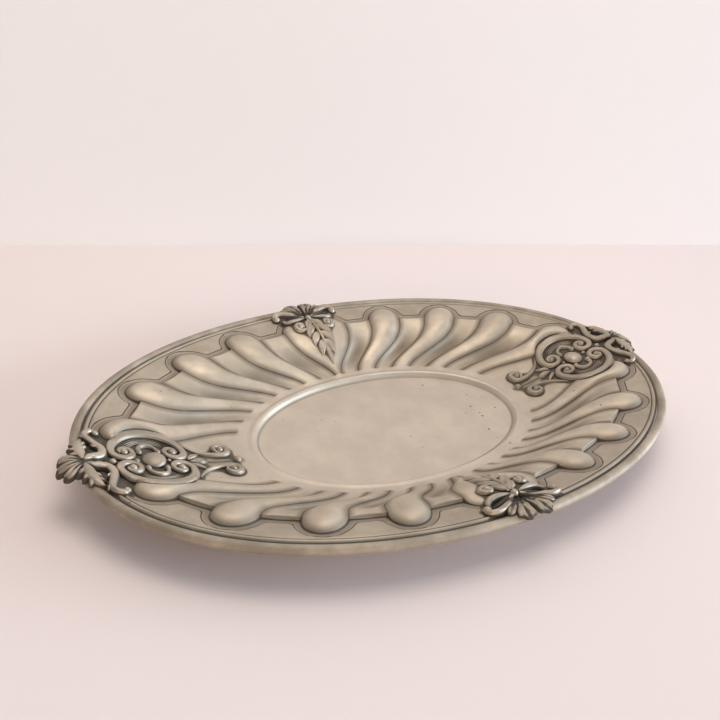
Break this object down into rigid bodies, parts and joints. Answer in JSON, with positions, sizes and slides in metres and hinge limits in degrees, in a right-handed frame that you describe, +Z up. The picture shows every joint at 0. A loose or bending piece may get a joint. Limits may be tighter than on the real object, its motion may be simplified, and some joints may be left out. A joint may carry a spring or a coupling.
{
  "type": "oval tray",
  "caption": "Oval pewter tray with a flat well, a border of swelling lobes and flutes, a beaded rim, cast scroll cartouches at its ends and cast acanthus leaves at its sides.",
  "frame": {"origin": "On the table under the middle of the well, at the centre of the base of the bounding box", "axes": "+X along the tray's length towards one cartouche, +Y across it towards one side leaf, +Z up"},
  "size_m": [0.441, 0.293, 0.0331],
  "materials": {
    "pewter": "satin pewter, dull and slightly warm, with dark patina in the creases",
    "pewter_cast": "cast pewter, satin on the high relief and dark in the hollows"
  },
  "bodies": {
    "root": {"tray_body": "pewter", "rim_bead": "pewter", "end_crest_left": "pewter_cast", "end_crest_right": "pewter_cast", "end_sprays_left": "pewter_cast", "end_sprays_right": "pewter_cast", "cartouche_frame_left": "pewter_cast", "cartouche_frame_right": "pewter_cast", "cartouche_boss_left": "pewter_cast", "cartouche_boss_right": "pewter_cast", "inner_scrolls_left": "pewter_cast", "inner_scrolls_right": "pewter_cast", "end_beads_left": "pewter_cast", "end_beads_right": "pewter_cast", "trefoil_left": "pewter_cast", "trefoil_right": "pewter_cast", "tail_scrolls_left": "pewter_cast", "tail_scrolls_right": "pewter_cast", "side_crest_front": "pewter_cast", "side_crest_back": "pewter_cast", "side_sprays_front": "pewter_cast", "side_sprays_back": "pewter_cast", "side_volutes_front": "pewter_cast", "side_volutes_back": "pewter_cast", "side_leaf_front": "pewter_cast", "side_leaf_back": "pewter_cast", "side_knot_front": "pewter_cast", "side_knot_back": "pewter_cast"}
  },
  "joints": []
}
